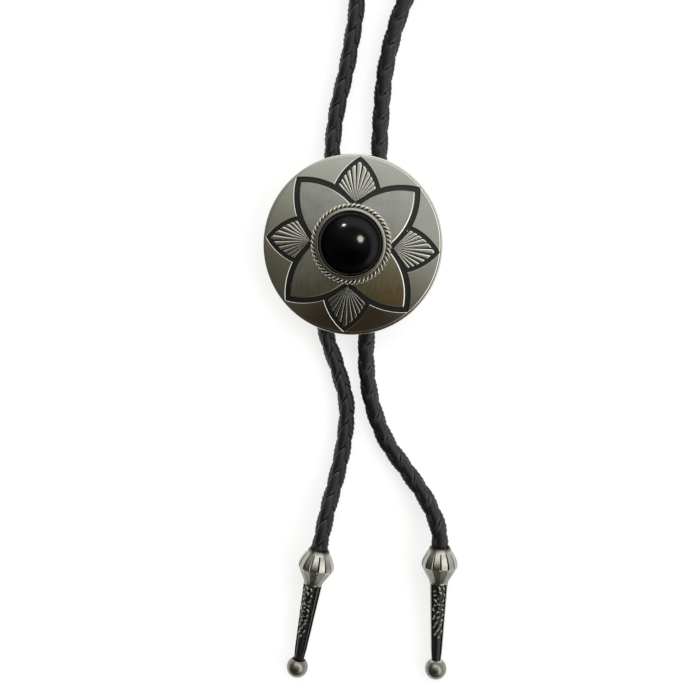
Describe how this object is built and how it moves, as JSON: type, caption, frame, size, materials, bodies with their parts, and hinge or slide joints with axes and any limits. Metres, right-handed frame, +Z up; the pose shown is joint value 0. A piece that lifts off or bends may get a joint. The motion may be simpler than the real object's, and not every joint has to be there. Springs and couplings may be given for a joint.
{
  "type": "bolo tie",
  "caption": "Bolo tie lying flat: round domed metal slide with a sunk flower line and a black cabochon, on a braided leather neck cord that ends in cast metal tips.",
  "frame": {"origin": "under the middle of the slide, on the surface that the tie lies on, which is the plane of the back keeper's flat back", "axes": "+Z up out of the slide's face, +Y from the slide to the neck loop, +X to the right as seen from the front; the left tip is at -X of the right tip"},
  "size_m": [0.1755, 0.4152, 0.0159],
  "materials": {
    "polished_plate": "polished nickel silver with blackened recesses",
    "soldered_setting": "satin polished, darkened in the rope's hollows",
    "onyx": "high polish",
    "keeper_steel": "plain satin",
    "braided_leather": "waxed, slightly glossy",
    "cast_tip": "cast, antiqued and buffed on the high places"
  },
  "bodies": {
    "root": {"face_plate": "polished_plate", "bezel_setting": "soldered_setting", "onyx_stone": "onyx", "back_keeper": "keeper_steel", "cord": "braided_leather", "left_tip": "cast_tip", "right_tip": "cast_tip"}
  },
  "joints": []
}
